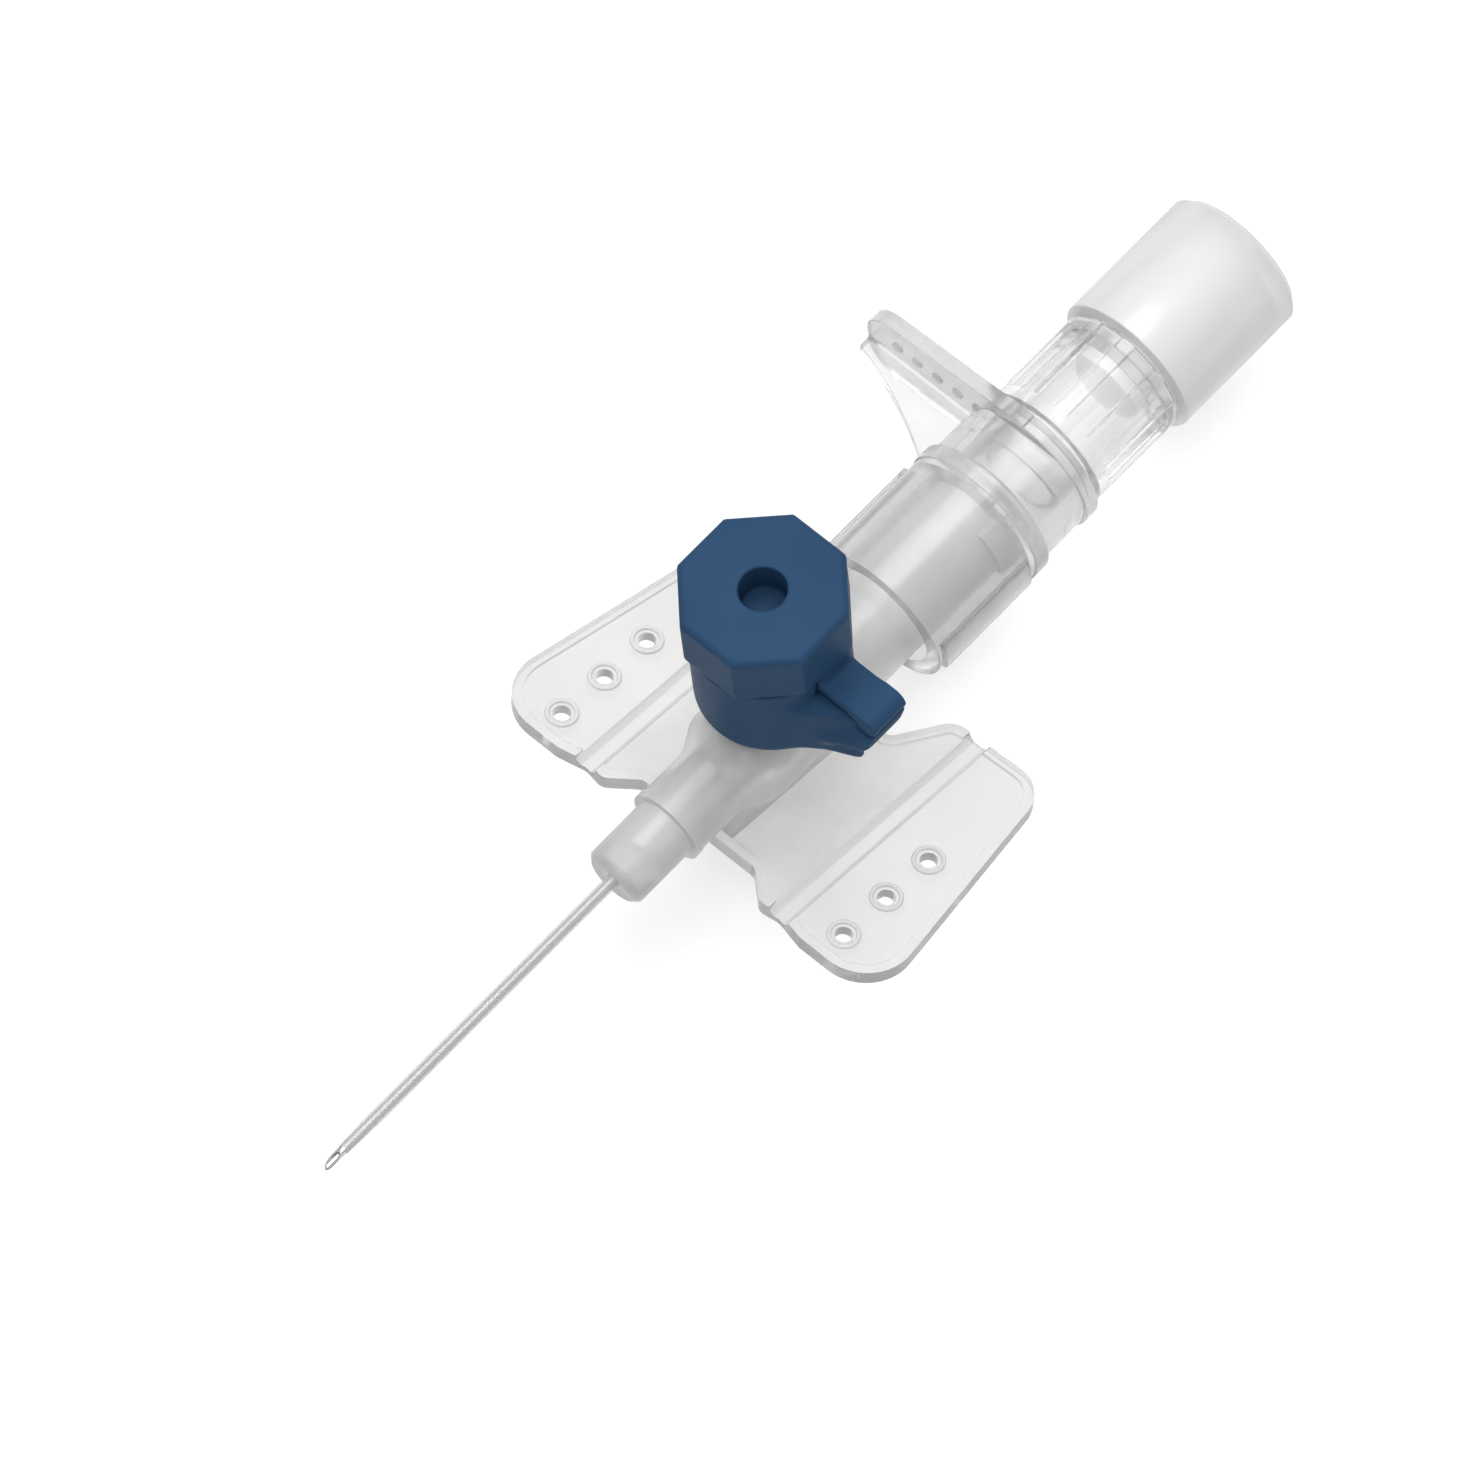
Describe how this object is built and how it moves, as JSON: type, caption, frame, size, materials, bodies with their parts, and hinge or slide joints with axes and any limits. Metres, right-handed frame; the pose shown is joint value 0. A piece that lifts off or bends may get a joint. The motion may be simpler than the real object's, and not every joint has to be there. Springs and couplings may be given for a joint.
{
  "type": "iv cannula",
  "caption": "Winged intravenous cannula with a flip-cap injection port, a needle with a finger grip, a flashback chamber and a rear lock plug.",
  "frame": {"origin": "centre of the front face of the hub's nose, on the needle's axis, where the catheter leaves it", "axes": "+X along the catheter towards the needle's point, +Z out of the injection port"},
  "size_m": [0.0873, 0.0332, 0.025],
  "materials": {
    "needle_steel": "ground",
    "catheter_plastic": "clear, smooth",
    "bushing_metal": "drawn",
    "hub_plastic": "translucent, satin",
    "valve_rubber": "silicone",
    "blue_plastic": "satin moulded",
    "clear_plastic": "clear, polished",
    "filter_plastic": "porous",
    "frosted_plastic": "frosted"
  },
  "bodies": {
    "cannula": {"catheter_tube": "catheter_plastic", "catheter_bushing": "bushing_metal", "catheter_hub": "hub_plastic", "port_valve": "valve_rubber"},
    "ring": {"port_ring": "blue_plastic"},
    "cap": {"port_cap": "blue_plastic"},
    "needle_set": {"needle": "needle_steel", "needle_hub": "clear_plastic", "flashback_chamber": "clear_plastic", "vent_filter": "filter_plastic"},
    "rear_plug": {"luer_lock_plug": "frosted_plastic"}
  },
  "joints": [
    {"name": "needle_draw", "type": "slide", "parent": "cannula", "child": "needle_set", "axis": [-1, 0, 0], "range_m": [0, 0.06]},
    {"name": "plug_pull", "type": "slide", "parent": "needle_set", "child": "rear_plug", "axis": [-1, 0, 0], "range_m": [0, 0.012]},
    {"name": "ring_turn", "type": "hinge", "parent": "cannula", "child": "ring", "pos_m": [-0.0158, 0, 0.0086], "axis": [0, 0, 1], "continuous": true},
    {"name": "cap_flip", "type": "hinge", "parent": "ring", "child": "cap", "pos_m": [-0.0165, 0.009, 0.01045], "axis": [-1, 0, 0], "range_deg": [0, 150]}
  ]
}
